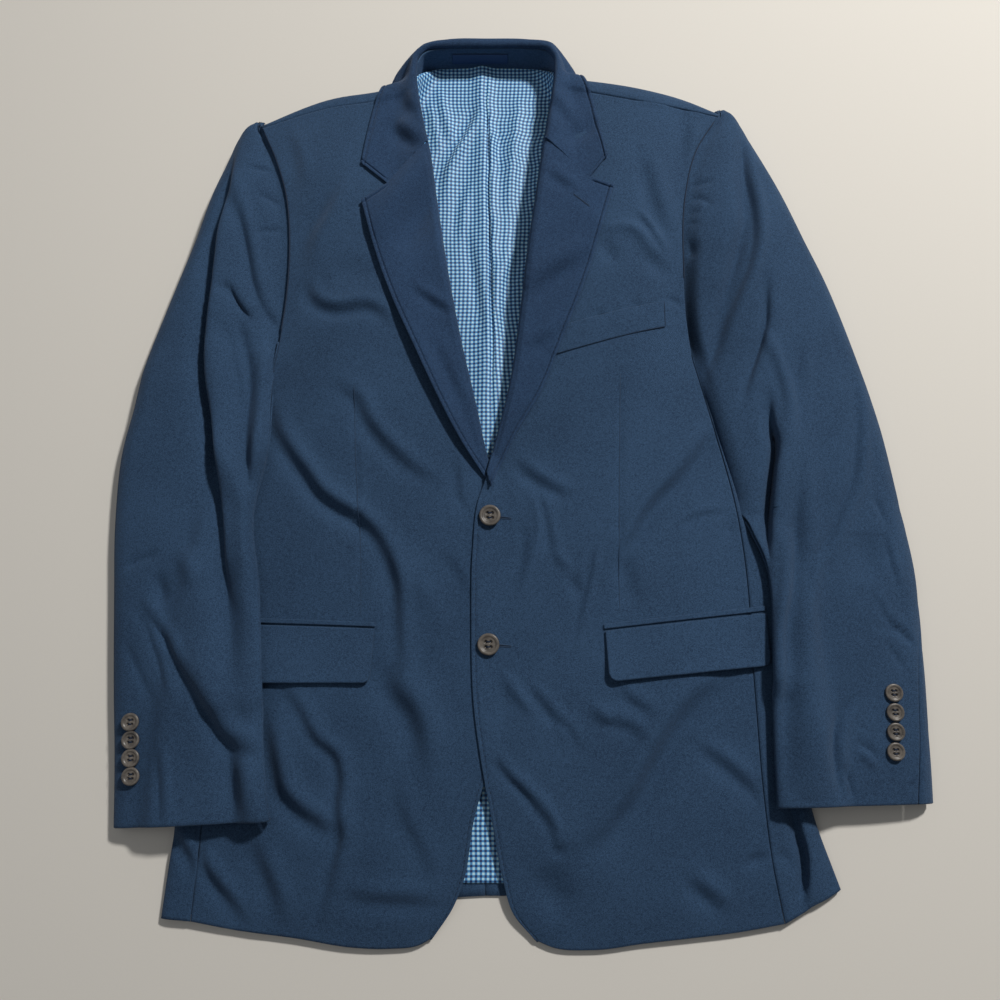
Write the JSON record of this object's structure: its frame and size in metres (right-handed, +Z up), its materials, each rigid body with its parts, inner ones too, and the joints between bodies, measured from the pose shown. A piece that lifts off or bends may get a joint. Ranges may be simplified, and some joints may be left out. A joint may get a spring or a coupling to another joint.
{
  "type": "single breasted blazer",
  "caption": "Single breasted blazer with notch lapels, chest welt, flap pockets and cuff buttons, laid flat on its back with the front closed.",
  "frame": {"origin": "centre of the bounding box in plan, on the surface that the blazer lies on", "axes": "+Y from the hem to the collar, +X to the wearer's left, +Z up out of the front of the laid blazer"},
  "size_m": [0.7139, 0.8501, 0.0401],
  "materials": {
    "wool": "matte navy wool twill",
    "stand_wool": "matte navy undercollar cloth",
    "lining": "satin lining in a small blue and white gingham check",
    "label": "woven label, bare",
    "horn": "semi-matt dark horn resin"
  },
  "bodies": {
    "root": {"back_left": "wool", "back_right": "wool", "side_left": "wool", "side_right": "wool", "front_left": "wool", "front_right": "wool", "lapel_left": "wool", "lapel_right": "wool", "collar_leaf": "wool", "pocket_flap_left": "wool", "pocket_flap_right": "wool", "pocket_jet_left": "wool", "pocket_jet_right": "wool", "chest_welt": "wool", "top_sleeve_left": "wool", "top_sleeve_right": "wool", "under_sleeve_left": "wool", "under_sleeve_right": "wool", "collar_stand": "stand_wool", "back_lining": "lining", "neck_label": "label", "front_button_1": "horn", "front_button_2": "horn", "cuff_button_left_1": "horn", "cuff_button_left_2": "horn", "cuff_button_left_3": "horn", "cuff_button_left_4": "horn", "cuff_button_right_1": "horn", "cuff_button_right_2": "horn", "cuff_button_right_3": "horn", "cuff_button_right_4": "horn"}
  },
  "joints": []
}
